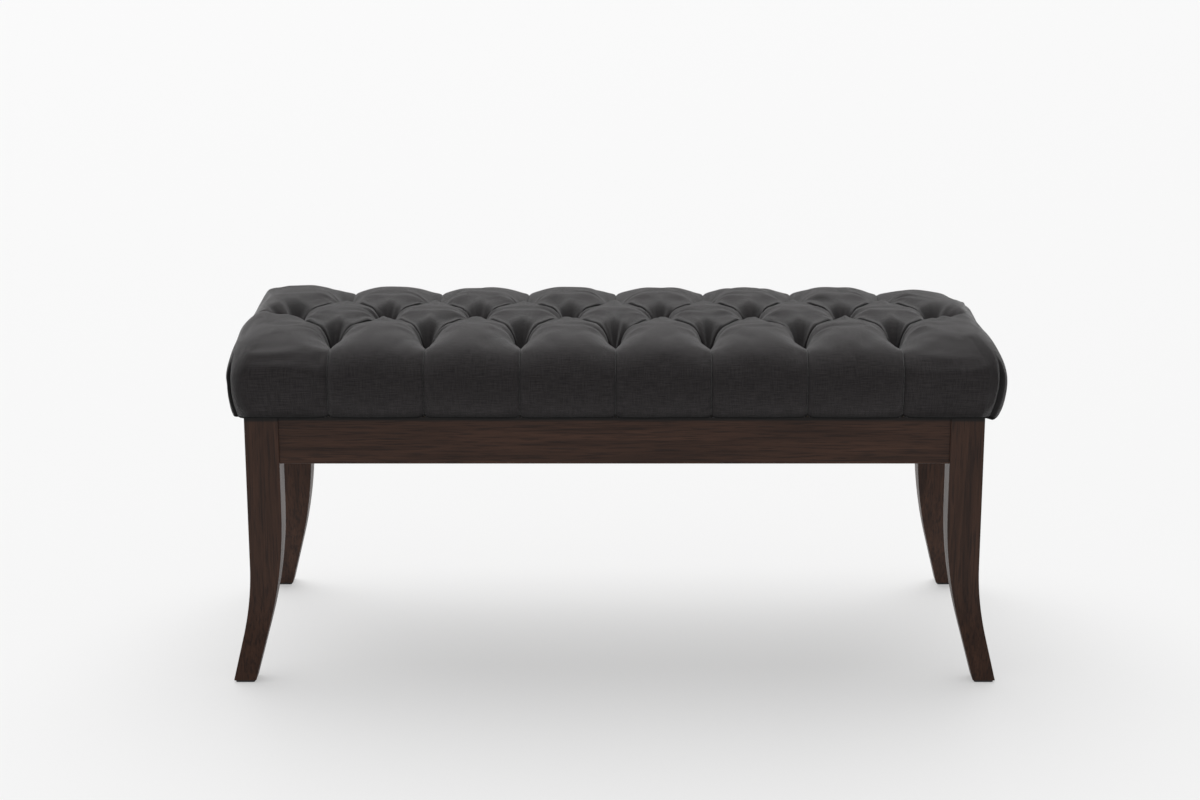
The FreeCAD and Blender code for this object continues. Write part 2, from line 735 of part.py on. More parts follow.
def all_parts():
    """Every node's name and its solids."""
    parts = {}
    leg, block = finished_leg(), finished_corner_block()
    for name, (sign_x, sign_y) in CORNERS.items():
        parts["leg_" + name] = [to_corner(leg, sign_x, sign_y)]
        parts["corner_block_" + name] = [to_corner(block, sign_x, sign_y)]
    long_board, short_board = long_apron(), short_apron()
    parts["apron_rear"] = [long_board]
    parts["apron_front"] = [long_board.mirror(ORIGIN, Y)]
    parts["apron_right"] = [short_board]
    parts["apron_left"] = [short_board.mirror(ORIGIN, X)]
    parts["centre_rail"] = [centre_rail()]
    parts["foot_glides"] = four(glide())
    parts["glide_nails"] = four(glide_nail())
    parts["apron_dowels"] = [d for dowel in corner_dowels() for d in four(dowel)]
    rear_dowels = rail_dowels()
    parts["rail_dowels"] = rear_dowels + [d.mirror(ORIGIN, Y) for d in rear_dowels]
    parts["hanger_bolts"] = four(hanger_bolt())
    parts["hanger_bolt_washers"] = four(bolt_washer())
    parts["hanger_bolt_nuts"] = four(bolt_nut())
    parts["corner_block_screws"] = [s for screw in corner_screws for s in four(screw)]
    rail_screw = seat_screw(rail_seat_screw, rail_web)
    parts["seat_screws"] = four(seat_screw(corner_seat_screw, seat_screw_web)) + [
        rail_screw, rail_screw.mirror(ORIGIN, Y)
    ]
    foam_block = foam()
    parts["seat_board"] = [seat_board()]
    parts["foam_core"] = [foam_block]
    parts["wadding"] = [wadding(foam_block)]
    parts["seat_cover"] = [seat_cover()]
    parts["dust_cover"] = [dust_cover()]
    for name, row in (("front", front_row), ("middle", middle_row), ("rear", rear_row)):
        parts["buttons_" + name + "_row"] = [covered_button(at) for at in row]
    parts["button_twines"] = [twine(at) for at in button_places]
    parts["twine_anchors"] = [twine_anchor(at) for at in button_places]
    return parts


def main():
    os.makedirs("parts", exist_ok=True)
    for name, solids in all_parts().items():
        shape = solids[0] if len(solids) == 1 else Part.makeCompound(solids)
        found = shape.Solids
        print(
            f"{name}: {len(found)} solid(s), {sum(s.Volume for s in found) / 1000:.1f} cm3,",
            "valid" if shape.isValid() else "NOT VALID",
        )
        shape.exportStep(os.path.join("parts", name + ".step"))


main()
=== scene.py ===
# %% [markdown]
# # A deep-buttoned bench
#
# The bench is a dark wooden frame with four curved legs, and on it a seat pad whose fabric is pulled
# down by three rows of buttons. The wood and the hardware come ready-made as the frame that is loaded
# here. What a rigid solid can't show is made in this file: folded fabric, grain, weave and light.

# %% Load the frame and note its size
import math
import random

import bmesh
import bpy
from mathutils import Matrix, Vector, noise


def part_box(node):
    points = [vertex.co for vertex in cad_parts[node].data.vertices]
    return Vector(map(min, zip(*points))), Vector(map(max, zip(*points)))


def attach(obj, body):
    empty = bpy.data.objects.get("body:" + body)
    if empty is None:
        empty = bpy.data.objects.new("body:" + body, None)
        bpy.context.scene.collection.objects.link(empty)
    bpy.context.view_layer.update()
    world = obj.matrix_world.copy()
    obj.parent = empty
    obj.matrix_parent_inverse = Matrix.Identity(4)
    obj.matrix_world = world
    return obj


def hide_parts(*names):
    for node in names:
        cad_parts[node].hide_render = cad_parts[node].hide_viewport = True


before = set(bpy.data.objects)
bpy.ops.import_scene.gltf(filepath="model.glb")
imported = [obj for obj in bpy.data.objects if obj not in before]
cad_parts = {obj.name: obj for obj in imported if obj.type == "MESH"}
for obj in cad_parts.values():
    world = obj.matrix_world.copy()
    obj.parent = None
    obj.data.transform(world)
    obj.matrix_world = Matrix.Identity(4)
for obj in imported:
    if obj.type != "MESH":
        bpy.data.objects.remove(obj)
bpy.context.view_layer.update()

# %% [markdown]
# ## Measures
#
# Everything below takes its place from the loaded solids: the pad from its cover, the folds from the
# buttons. Only what belongs to the fabric itself, such as how deep a fold is, is stated here.

# %% Where the pad and its buttons are
MM = 0.001
pad_low, pad_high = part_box("seat_cover")
CROWN = pad_high.z
UNDERSIDE = pad_low.z
HALF_X, HALF_Y = pad_high.x, pad_high.y
WIDEST = UNDERSIDE + 51.2 * MM          # height of the widest line of the bulging sides
END_BULGE, FACE_BULGE = 8 * MM, 7 * MM
END_SHOULDER, FACE_SHOULDER = 36 * MM, 95 * MM      # from the widest line in to the level crown


def row_places(node, count):
    """The middles of a row of buttons, from the box round the row."""
    low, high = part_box(node)
    radius = (high.y - low.y) / 2
    first, last = low.x + radius, high.x - radius
    return [Vector((first + (last - first) * k / (count - 1), (low.y + high.y) / 2)) for k in range(count)]


front_row = row_places("buttons_front_row", 7)
middle_row = row_places("buttons_middle_row", 8)
rear_row = row_places("buttons_rear_row", 7)
tufts = front_row + middle_row + rear_row
BUTTON_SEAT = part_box("buttons_front_row")[0].z
PITCH = front_row[1].x - front_row[0].x
print("buttons", len(tufts), "at a pitch of", round(PITCH / MM, 1), "mm")
print("their seats lie", round((CROWN - BUTTON_SEAT) / MM, 1), "mm under the crown")

# %% [markdown]
# ## Materials
#
# A finish is more than a colour. The helpers below only save typing: each adds a node, fills in its
# values and joins it to the nodes that feed it. Patterns that several finishes share are node groups.

# %% Helpers for adding nodes
def add(tree, kind, inputs=None, **settings):
    """Adds a node; inputs maps a socket's name or number to a value or to the socket that feeds it."""
    node = tree.nodes.new(kind)
    for name, value in settings.items():
        setattr(node, name, value)
    for key, value in (inputs or {}).items():
        socket = node.inputs[key]
        if isinstance(value, bpy.types.NodeSocket):
            tree.links.new(value, socket)
        else:
            socket.default_value = value
    return node


def math_node(tree, operation, a, b=0.0, clamp=False):
    return add(tree, "ShaderNodeMath", {0: a, 1: b}, operation=operation, use_clamp=clamp).outputs[0]


def remapped(tree, value, low, high, new_low=0.0, new_high=1.0):
    """A value whose range from low to high is stretched to another one."""
    ranges = {0: value, 1: low, 2: high, 3: new_low, 4: new_high}
    return add(tree, "ShaderNodeMapRange", ranges).outputs[0]


def scaled(tree, vector, factors):
    """Coordinates multiplied axis by axis, which squeezes the pattern that reads them."""
    return add(tree, "ShaderNodeVectorMath", {0: vector, 1: factors}, operation="MULTIPLY").outputs[0]


def cloudy(tree, vector, scale, detail, roughness=0.5, distortion=0.0):
    """Soft random noise, with finer noise on it for each step of detail."""
    values = {"Scale": scale, "Detail": detail, "Roughness": roughness, "Distortion": distortion}
    return add(tree, "ShaderNodeTexNoise", {"Vector": vector, **values}).outputs[0]


def mix_colour(tree, amount, a, b):
    """A colour between a and b."""
    return add(tree, "ShaderNodeMix", {0: amount, 6: a, 7: b}, data_type="RGBA").outputs[2]


def darker(colour, share):
    """A share of a colour's brightness."""
    return (*(share * c for c in colour[:3]), 1)


# %% Helpers for node groups and materials
def new_group(name, inputs, outputs):
    """An empty node group; inputs list (name, kind, default) and outputs list (name, kind)."""
    group = bpy.data.node_groups.new(name, "ShaderNodeTree")
    for label, kind, default in inputs:
        socket = group.interface.new_socket(label, in_out="INPUT", socket_type=kind)
        if default is not None:
            socket.default_value = default
    for label, kind in outputs:
        group.interface.new_socket(label, in_out="OUTPUT", socket_type=kind)
    start = group.nodes.new("NodeGroupInput")
    end = group.nodes.new("NodeGroupOutput")
    return group, start.outputs, end.inputs


def place_group(tree, group, inputs):
    """Puts a node group into a material."""
    return add(tree, "ShaderNodeGroup", inputs, node_tree=group).outputs


def new_material(name):
    """A material with its Principled shader; returns the material, its tree and the shader."""
    material = bpy.data.materials.new(name)
    material.use_nodes = True
    tree = material.node_tree
    return material, tree, tree.nodes["Principled BSDF"]


def own_place(tree):
    """The place on the piece itself, in metres."""
    return add(tree, "ShaderNodeTexCoord").outputs["Object"]


def add_relief(tree, shader, height, strength, distance):
    """Roughens the surface by a height; distance is how high 1 stands."""
    relief = add(tree, "ShaderNodeBump", {"Height": height, "Strength": strength, "Distance": distance})
    tree.links.new(relief.outputs[0], shader.inputs["Normal"])


# %% [markdown]
# ### Wood grain
#
# The legs and aprons are stained beech: long streaks along each piece, short dark pores, and a thin
# satin coat. The streaks are noise stretched along one axis. The axis is an input, so the same group
# serves the upright legs and the lying rails.

# %% The grain group
def make_grain_group():
    group, given, out = new_group(
        "wood_grain",
        [("Vector", "NodeSocketVector", None), ("Stretch", "NodeSocketVector", (1, 1, 1))],
        [("Streaks", "NodeSocketFloat"), ("Pores", "NodeSocketFloat"), ("Height", "NodeSocketFloat")],
    )
    stretched = scaled(group, given["Vector"], given["Stretch"])
    streaks = cloudy(group, stretched, 1.0, 6.0, roughness=0.6, distortion=0.6)
    pores = cloudy(group, scaled(group, stretched, (4.5, 4.5, 4.5)), 1.0, 2.0)
    dark = remapped(group, pores, 0.36, 0.5, 1.0, 0.0)
    raised = math_node(group, "MULTIPLY", streaks, 0.4)
    sunken = math_node(group, "MULTIPLY", dark, 0.5)
    group.links.new(streaks, out["Streaks"])
    group.links.new(dark, out["Pores"])
    group.links.new(math_node(group, "SUBTRACT", raised, sunken), out["Height"])
    return group


grain_group = make_grain_group()


# %% Stained and raw wood
FRAME_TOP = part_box("apron_front")[1].z
# Painted shadow on the frame under the pad's edge: where it starts, where it is full, and its colour.
PAINTED_SHADOW_FROM, PAINTED_SHADOW_FULL = FRAME_TOP - 6.5 * MM, FRAME_TOP - 3.5 * MM
PAINTED_SHADOW_BLACK = (0.002, 0.002, 0.002, 1)


def wood(name, stretch, light, dark, pore, roughness, coat, bump):
    """A wood whose grain runs along the axis of least stretch, dark where the pad's edge shades it."""
    material, tree, shader = new_material(name)
    coords = own_place(tree)
    grain = place_group(tree, grain_group, {"Vector": coords, "Stretch": stretch})
    colour = mix_colour(tree, remapped(tree, grain["Streaks"], 0.32, 0.68), dark, light)
    colour = mix_colour(tree, math_node(tree, "MULTIPLY", grain["Pores"], 0.55), colour, pore)
    height = add(tree, "ShaderNodeSeparateXYZ", {0: coords}).outputs["Z"]
    # Painted shadow: the wood turns near-black just under the frame's top, where the pad's edge shades it.
    shade = remapped(tree, height, PAINTED_SHADOW_FROM, PAINTED_SHADOW_FULL, 0.0, 0.9)
    tree.links.new(mix_colour(tree, shade, colour, PAINTED_SHADOW_BLACK), shader.inputs["Base Color"])
    rough = remapped(tree, grain["Streaks"], 0.3, 0.7, roughness + 0.06, roughness - 0.04)
    tree.links.new(rough, shader.inputs["Roughness"])
    add_relief(tree, shader, grain["Height"], bump, 0.6 * MM)
    shader.inputs["Specular IOR Level"].default_value = 0.22
    shader.inputs["Coat Weight"].default_value = coat
    shader.inputs["Coat Roughness"].default_value = 0.28
    return material


STAIN = {
    "light": (0.068, 0.029, 0.016, 1), "dark": (0.030, 0.0125, 0.007, 1), "pore": (0.009, 0.004, 0.003, 1),
    "roughness": 0.45, "coat": 0.06, "bump": 0.35,
}
RAW = {
    "light": (0.60, 0.42, 0.25, 1), "dark": (0.46, 0.30, 0.165, 1), "pore": (0.28, 0.17, 0.09, 1),
    "roughness": 0.72, "coat": 0.0, "bump": 0.5,
}
ACROSS, ALONG = 110, 5
stained_upright = wood("stained_beech_upright", (ACROSS, ACROSS, ALONG), **STAIN)
stained_long = wood("stained_beech_long", (ALONG, ACROSS, ACROSS), **STAIN)
stained_short = wood("stained_beech_short", (ACROSS, ALONG, ACROSS), **STAIN)
raw_long = wood("raw_beech_blocks", (ACROSS, ACROSS, 12), **RAW)
raw_rail = wood("raw_beech_rail", (ACROSS, ALONG, ACROSS), **RAW)
raw_ply = wood("seat_plywood", (ALONG, ACROSS, ACROSS * 4), **RAW)


# %% Metal and plastic
def metal(name, colour, roughness):
    """Plated or blackened steel with faint smears that break up its shine."""
    material, tree, shader = new_material(name)
    smear = cloudy(tree, own_place(tree), 260.0, 4.0)
    rough = remapped(tree, smear, 0.3, 0.7, roughness - 0.08, roughness + 0.12)
    tree.links.new(rough, shader.inputs["Roughness"])
    tree.links.new(mix_colour(tree, smear, darker(colour, 0.7), colour), shader.inputs["Base Color"])
    shader.inputs["Metallic"].default_value = 1.0
    return material


def plastic(name, colour, roughness):
    """Moulded plastic with a fine spark-eroded grain."""
    material, tree, shader = new_material(name)
    grain = cloudy(tree, own_place(tree), 1500.0, 2.0)
    tree.links.new(mix_colour(tree, grain, darker(colour, 0.8), colour), shader.inputs["Base Color"])
    add_relief(tree, shader, grain, 0.3, 0.2 * MM)
    shader.inputs["Roughness"].default_value = roughness
    return material


zinc = metal("zinc_plated_steel", (0.62, 0.62, 0.6, 1), 0.35)
black_steel = metal("blackened_screws", (0.05, 0.05, 0.052, 1), 0.42)
glide_black = plastic("glide_plastic", (0.018, 0.018, 0.018, 1), 0.55)


# %% Twine and spun sheet
def twisted(name, colour, scale):
    """Waxed thread: slanting strands."""
    material, tree, shader = new_material(name)
    waves = {"Vector": own_place(tree), "Scale": scale, "Distortion": 1.5}
    strands = add(tree, "ShaderNodeTexWave", waves, bands_direction="DIAGONAL").outputs["Fac"]
    tree.links.new(mix_colour(tree, strands, darker(colour, 0.5), colour), shader.inputs["Base Color"])
    add_relief(tree, shader, strands, 0.6, 0.3 * MM)
    shader.inputs["Roughness"].default_value = 0.7
    return material


def spun(name, colour):
    """Spun-bonded sheet: cloudy fibres with a grid of small pressed dots."""
    material, tree, shader = new_material(name)
    coords = own_place(tree)
    fibres = cloudy(tree, coords, 420.0, 5.0, roughness=0.7)
    grid = {"Vector": coords, "Scale": 560.0, "Randomness": 0.15}
    dots = add(tree, "ShaderNodeTexVoronoi", grid).outputs["Distance"]
    height = math_node(tree, "ADD", fibres, math_node(tree, "MULTIPLY", dots, 0.6))
    tone = remapped(tree, height, 0.4, 1.0)
    tree.links.new(mix_colour(tree, tone, darker(colour, 0.45), colour), shader.inputs["Base Color"])
    add_relief(tree, shader, height, 0.5, 0.4 * MM)
    shader.inputs["Roughness"].default_value = 0.85
    return material


waxed_twine = twisted("waxed_twine", (0.62, 0.55, 0.42, 1), 900.0)
spunbond = spun("spun_dust_sheet", (0.02, 0.02, 0.021, 1))

# %% [markdown]
# ### The charcoal fabric
#
# The cover is a linen-look weave in anthracite: fine threads crossing at right angles, with thicker
# slubs that catch the light as short streaks. The pattern reads the cover's own UV map, which is laid
# out in metres along the cloth, so the threads follow each fold as they do on the real cloth.

# %% The weave group
SLUB_LONG, SLUB_THIN = 55, 900      # how often a slub's noise changes in a metre, along and across it


def make_weave_group():
    group, given, out = new_group(
        "linen_weave",
        [("Vector", "NodeSocketVector", None), ("Threads", "NodeSocketFloat", 1150.0)],
        [("Slubs", "NodeSocketFloat"), ("Mottle", "NodeSocketFloat"), ("Height", "NodeSocketFloat")],
    )
    parts = add(group, "ShaderNodeSeparateXYZ", {0: given["Vector"]}).outputs
    waves = []
    for axis in ("X", "Y"):
        turns = math_node(group, "MULTIPLY", given["Threads"], math.pi)
        waves.append(math_node(group, "SINE", math_node(group, "MULTIPLY", parts[axis], turns)))
    over_under = math_node(group, "MULTIPLY", waves[0], waves[1])
    shares = []
    for stretch, share in (((SLUB_LONG, SLUB_THIN, 1), 0.6), ((SLUB_THIN, SLUB_LONG, 1), 0.4)):
        streaks = cloudy(group, scaled(group, given["Vector"], stretch), 1.0, 3.0, roughness=0.65)
        shares.append(math_node(group, "MULTIPLY", streaks, share))
    slubs = math_node(group, "ADD", *shares)
    height = math_node(group, "ADD", math_node(group, "MULTIPLY", over_under, 0.25), slubs)
    group.links.new(slubs, out["Slubs"])
    group.links.new(cloudy(group, given["Vector"], 28.0, 3.0), out["Mottle"])
    group.links.new(height, out["Height"])
    return group


weave_group = make_weave_group()
# The near-black colour that painted shade darkens the cloth towards.
PAINTED_SHADE_BLACK = (0.003, 0.003, 0.003, 1)


def woven(name, dark, light, sheen):
    """A woven cloth on the piece's own UV map, with painted shade where the cloth is tucked away."""
    material, tree, shader = new_material(name)
    weave = place_group(tree, weave_group, {"Vector": add(tree, "ShaderNodeTexCoord").outputs["UV"]})
    colour = mix_colour(tree, remapped(tree, weave["Slubs"], 0.39, 0.61), dark, light)
    colour = mix_colour(tree, remapped(tree, weave["Mottle"], 0.3, 0.7, 0.0, 0.25), colour, dark)
    # Painted shade: the number stored on the cover's points darkens its colour.
    painted_shade = add(tree, "ShaderNodeAttribute", attribute_name="painted_shade").outputs["Fac"]
    painted_shade_share = math_node(tree, "MULTIPLY", painted_shade, 0.8, clamp=True)
    tree.links.new(mix_colour(tree, painted_shade_share, colour, PAINTED_SHADE_BLACK), shader.inputs["Base Color"])
    add_relief(tree, shader, weave["Height"], 0.8, 0.8 * MM)
    shader.inputs["Roughness"].default_value = 0.88
    shader.inputs["Sheen Weight"].default_value = sheen
    shader.inputs["Sheen Roughness"].default_value = 0.4
    shader.inputs["Specular IOR Level"].default_value = 0.25
    return material


charcoal = woven("charcoal_linen", (0.0165, 0.0142, 0.0148, 1), (0.041, 0.036, 0.037, 1), sheen=0.5)
# A darker copy of the linen without sheen: painted shadow for the strip along the pad's bottom edge.
hem_shadow_cloth = woven("charcoal_linen_painted_shadow", (0.006, 0.005, 0.005, 1), (0.014, 0.012, 0.012, 1), sheen=0.0)

# %% [markdown]
# ## The tufted cover
#
# The real cover is one sheet of cloth. Buttons pull it down in three staggered rows, and the spare
# cloth between neighbouring buttons is folded under, so that each diamond ends in a crisp lapped
# edge. A sculpted height map would round those edges off. Here each cell between folds is a grid of
# its own whose borders tuck under one another, which is how the cloth lies in the real folds.
#
# First comes the pad with nothing pulled down: its side bulges on an arc and rolls over the shoulder
# on a quarter ellipse. Each place on it has a station: 0 at the flat crown, 1 at the widest line, and
# 2 at the bottom edge.

# %% The untufted pad's side
CORNER_ROUND = 22 * MM
PROFILE_STEPS = 40


def side_profile(bulge, shoulder):
    """A function from a station to inset, height, tilt of the surface, and distance along the cloth."""
    rise = WIDEST - UNDERSIDE
    side_radius = (rise ** 2 + bulge ** 2) / (2 * bulge)
    lean = math.asin(rise / side_radius)
    crown_rise = CROWN - WIDEST

    def on_shoulder(station):
        turn = math.pi / 2 * (1 - station)
        return Vector((shoulder * (1 - math.cos(turn)), crown_rise * math.sin(turn)))

    lengths = [0.0]
    for k in range(PROFILE_STEPS):
        chord = on_shoulder((k + 1) / PROFILE_STEPS) - on_shoulder(k / PROFILE_STEPS)
        lengths.append(lengths[-1] + chord.length)

    def at(station):
        if station <= 1:
            turn = math.pi / 2 * (1 - station)
            inset, up = on_shoulder(station)
            whole = station * PROFILE_STEPS
            k = min(int(whole), PROFILE_STEPS - 1)
            along = lengths[k] + (whole - k) * (lengths[k + 1] - lengths[k])
            tilt = math.atan2(math.sin(turn) / crown_rise, math.cos(turn) / shoulder)
            return inset, WIDEST + up, tilt, along
        tilt = lean * (1 - station)
        along = lengths[-1] - side_radius * tilt
        return side_radius * (1 - math.cos(tilt)), WIDEST + side_radius * math.sin(tilt), tilt, along

    return at


end_side = side_profile(END_BULGE, END_SHOULDER)
face_side = side_profile(FACE_BULGE, FACE_SHOULDER)
CROWN_X = HALF_X - END_SHOULDER
CROWN_Y = HALF_Y - FACE_SHOULDER
print("flat crown", round(2 * CROWN_X / MM), "x", round(2 * CROWN_Y / MM), "mm")


def on_crown(x, y):
    """Place, outward normal, place on the flattened cloth, and station."""
    return Vector((x, y, CROWN)), Vector((0, 0, 1)), Vector((x, y)), 0.0


def on_face(x, station, sign):
    """The same on the front (sign -1) or the back of the pad."""
    inset, z, tilt, along = face_side(station)
    return (
        Vector((x, sign * (HALF_Y - inset), z)),
        Vector((0, sign * math.cos(tilt), math.sin(tilt))),
        Vector((x, sign * (CROWN_Y + along))),
        station,
    )


def round_corner(way, station, sign_x, sign_y, inner_x):
    """The same round one corner: way runs from 0 at the end's middle, over 1 and 2 at the rounding, to 3."""
    end_inset, end_z, end_tilt, end_along = end_side(station)
    face_inset, face_z, face_tilt, face_along = face_side(station)
    reach_x, reach_y = HALF_X - end_inset, HALF_Y - face_inset
    turn = math.pi / 2 * min(max(way - 1, 0), 1)
    centre = Vector((reach_x - CORNER_ROUND, reach_y - CORNER_ROUND))
    flat_centre = Vector((CROWN_X - CORNER_ROUND, CROWN_Y - CORNER_ROUND))
    slide = Vector((0, -centre.y * (1 - way))) if way < 1 else Vector((0, 0))
    if way > 2:
        slide = Vector(((inner_x - centre.x) * (way - 2), 0))
    flat_slide = slide.copy()
    if way < 1:
        flat_slide = Vector((0, -flat_centre.y * (1 - way)))
    elif way > 2:
        flat_slide = Vector(((inner_x - flat_centre.x) * (way - 2), 0))
    out = Vector((math.cos(turn), math.sin(turn)))
    share = math.sin(turn) ** 2
    z = end_z + (face_z - end_z) * share
    tilt = end_tilt + (face_tilt - end_tilt) * share
    along = end_along + (face_along - end_along) * share
    plan = centre + slide + out * CORNER_ROUND
    flat = flat_centre + flat_slide + out * (CORNER_ROUND + along)
    return (
        Vector((sign_x * plan.x, sign_y * plan.y, z)),
        Vector((sign_x * out.x * math.cos(tilt), sign_y * out.y * math.cos(tilt), math.sin(tilt))),
        Vector((sign_x * flat.x, sign_y * flat.y)),
        station,
    )


# %% [markdown]
# ### How deep the cloth is pulled down
#
# Over the flattened cloth, a fold is a line from button to button, and a pleat is a line from an outer
# button over the edge of the pad. Beside such a line the cloth rises steeply and then rounds off, as
# an inflated cushion does. Towards a button a fold gets deeper and its two sides draw together, round
# the button the cloth drops into a pit, and small creases fan out where it is gathered.

# %% Measures of folds, pleats and pits
SIDE_STARTS, SIDE_FULL = 0.25, 1.05         # stations between which the crown's folds die out
FOLD_DEPTH = 7 * MM
FOLD_REACH = 46 * MM                        # from the fold to the top of the pillow beside it
FOLD_WIDE = 62 * MM                         # how far from its button a fold has its full reach
FOLD_STEEP, FOLD_SOFT = 15 * MM, 45 * MM    # steep walls up to the first, a soft trough from the second
FUNNEL, FUNNEL_CURVE = 43 * MM, 2.1         # where a fold starts to dive towards its button
PLEAT_DEPTH_LOW = 3.0 * MM                  # down the side
PLEAT_REACH, PLEAT_REACH_LOW = PITCH / 2, 14 * MM
PLEAT_WIDE = 30 * MM
PLEAT_CURVE = 2.5
PIT_INNER, PIT_OUTER = 8 * MM, 45 * MM
PIT_DEPTH = CROWN - BUTTON_SEAT - 1 * MM
# The stuffing has slipped forward a little: cloth slopes down gently behind a button, steeply before it.
GATHER_BEHIND, GATHER_BEFORE, GATHER_CURVE = 66 * MM, 40 * MM, 2.3
GATHER_ANGLE = math.radians(34)
FAR = 0.5                                   # past the edge of the flattened cloth
NOTHING = 1e-6                              # keeps a division clear of zero

folds = []
for outer_row in (front_row, rear_row):
    for button in outer_row:
        folds += [(button, other) for other in middle_row if abs(other.x - button.x) < PITCH * 0.6]
# A pleat's line, how far the cloth runs up from its button until it is level, and its depth on the crown
pleats = [((b, Vector((b.x, -FAR))), 80 * MM, 2.4 * MM) for b in front_row]
pleats += [((b, Vector((b.x, FAR))), 88 * MM, 6 * MM) for b in rear_row]
pleats += [((b, Vector((b.x * 3, 0))), 44 * MM, 3.4 * MM) for b in (middle_row[0], middle_row[-1])]
print("folds", len(folds), "pleats", len(pleats))


# %% The shape of a fold, a pleat and a pit
def eased(value, low, high):
    """0 below low, 1 above high, and smooth between them."""
    share = min(max((value - low) / (high - low), 0), 1)
    return share * share * (3 - 2 * share)


def to_line(p, line):
    """Distance from a point to a straight piece, and how far along it from its nearer end that is."""
    a, b = line
    run = b - a
    share = min(max((p - a).dot(run) / run.length_squared, 0), 1)
    return (p - a - run * share).length, min(share, 1 - share) * run.length


def left_over(distance, end):
    """1 at a button's rim, falling evenly to 0 at the end."""
    return max(0, 1 - max(0, distance - PIT_INNER) / (end - PIT_INNER))


def pillow(share, steepness):
    """1 at a fold and 0 at the top of the pillow: a soft trough, or steep and then rounding off."""
    rest = 1 - share
    soft = rest * rest * (3 - 2 * rest)
    steep = 0.6 * (1 - math.sqrt(1 - rest ** 2)) + 0.4 * rest ** 2
    return soft + (steep - soft) * steepness


def narrowness(button, away):
    """1 where the cloth is gathered between two close folds, 0 in a cell's wide corners."""
    inwards = abs(away.y) if abs(button.y) < MM else -away.y * math.copysign(1, button.y)
    angle = math.atan2(abs(away.x), inwards)
    return math.exp(-((angle / GATHER_ANGLE) ** 4))


def fold_depths(p, side):
    """What each fold near by takes off; side says how far down the side the point is."""
    for line in folds:
        off, along = to_line(p, line)
        share = off / (FOLD_REACH * (0.2 + 0.8 * eased(along, 0, FOLD_WIDE)))
        if share < 1:
            depth = FOLD_DEPTH + PIT_DEPTH * left_over(along, FUNNEL) ** FUNNEL_CURVE
            steepness = 1 - eased(along, FOLD_STEEP, FOLD_SOFT)
            yield depth * (1 - side) * pillow(share, steepness)


def pleat_depths(p, station):
    """What each pleat near by takes off: a narrow line down to the hem, and a funnel at its button."""
    reach = PLEAT_REACH + (PLEAT_REACH_LOW - PLEAT_REACH) * eased(station, 0.4, 0.95)
    for line, run, edge_depth in pleats:
        off, along = to_line(p, line)
        share = off / (reach * (0.4 + 0.6 * eased(along, 0, PLEAT_WIDE)))
        if share < 1:
            depth = edge_depth + (PLEAT_DEPTH_LOW - edge_depth) * eased(station, 0.35, 0.95)
            yield depth * (1 - share) ** PLEAT_CURVE
        left = left_over(along, run)
        opening = left ** 0.25 * (0.5 + 0.5 * eased(along, 0, 25 * MM))
        share = off / (PLEAT_REACH * opening + NOTHING)
        if share < 1:
            yield PIT_DEPTH * left ** 0.85 * (1 - share) ** PLEAT_CURVE


def pit_depth(button, away):
    """What the pit round a button takes off: steep on most sides, wide where the cloth is gathered."""
    distance = away.length
    rest = 1 - min(max(distance - PIT_INNER, 0) / (PIT_OUTER - PIT_INNER), 1)
    tight = 1 - math.sqrt(1 - rest ** 2)
    gather = GATHER_BEHIND if away.y > 0 else GATHER_BEFORE
    wide = left_over(distance, gather) ** GATHER_CURVE
    return PIT_DEPTH * (tight + (wide - tight) * narrowness(button, away))


# %% Creases round the buttons
LOOSE_CREASES = 7
NARROW_LEANS = (-0.42, -0.14, 0.13, 0.4)
CREASE_DEPTH = (0.9 * MM, 2.6 * MM)
CREASE_WIDTH = (0.09, 0.15)
CREASE_RISES, CREASE_FADES, CREASE_ENDS = 16 * MM, 20 * MM, 2.2 * PIT_OUTER

random.seed(7)
creases = []
for button in tufts:
    spread = [random.uniform(0, 2 * math.pi) for _ in range(LOOSE_CREASES)]
    # The narrow corners hold most of the gathered cloth, so they get creases of their own.
    for toward in (-1, 1):
        if abs(button.y) < MM or toward * button.y < 0:
            spread += [toward * (math.pi / 2 + lean + random.uniform(-0.08, 0.08)) for lean in NARROW_LEANS]
    fan = [(angle, random.uniform(*CREASE_DEPTH), random.uniform(*CREASE_WIDTH)) for angle in spread]
    creases.append(fan)
print("creases", sum(len(fan) for fan in creases))


def creased(away, fan):
    """What the small creases that fan out from a button take off."""
    distance = away.length
    strength = eased(distance, PIT_INNER, CREASE_RISES) * (1 - eased(distance, CREASE_FADES, CREASE_ENDS))
    angle = math.atan2(away.y, away.x)
    depth = 0.0
    for middle, deepest, width in fan:
        turned = math.remainder(angle - middle, 2 * math.pi) / width
        if abs(turned) < 3:
            depth += deepest * strength * math.exp(-turned * turned)
    return depth


# %% All of it together
PIT_FELT = 2.4 * PIT_OUTER
LUMPS = ((14, 3.1, 1.4 * MM), (45, 8.7, 0.35 * MM))     # how fine, which slice of the noise, how high
UNEVEN = [          # places where the stuffing is a little thin or thick: middle, radius and depth
    (Vector((-0.50, 0.17)), 40 * MM, 6.0 * MM),
    (Vector((-0.42, 0.12)), 60 * MM, -4.0 * MM),
    (Vector((0.42, 0.12)), 50 * MM, -4.0 * MM),
    (Vector((-0.495, -0.03)), 36 * MM, -4.5 * MM),
    (Vector((0.12, -0.17)), 70 * MM, 1.2 * MM),
    (Vector((0.53, -0.15)), 60 * MM, -8.0 * MM),
]
SAGGING_CORNER = Vector((0.50, 0.12))       # the stuffing of the rear right corner has sunk
SAG_REACH, SAG_DROP = 75 * MM, 16 * MM


def lumpy(p):
    """The stuffing's lumps and its thin and thick places."""
    lump = sum(noise.noise(Vector((p.x * fine, p.y * fine, level))) * high for fine, level, high in LUMPS)
    thin = sum(depth * math.exp(-((p - at).length / radius) ** 2) for at, radius, depth in UNEVEN)
    return lump, thin


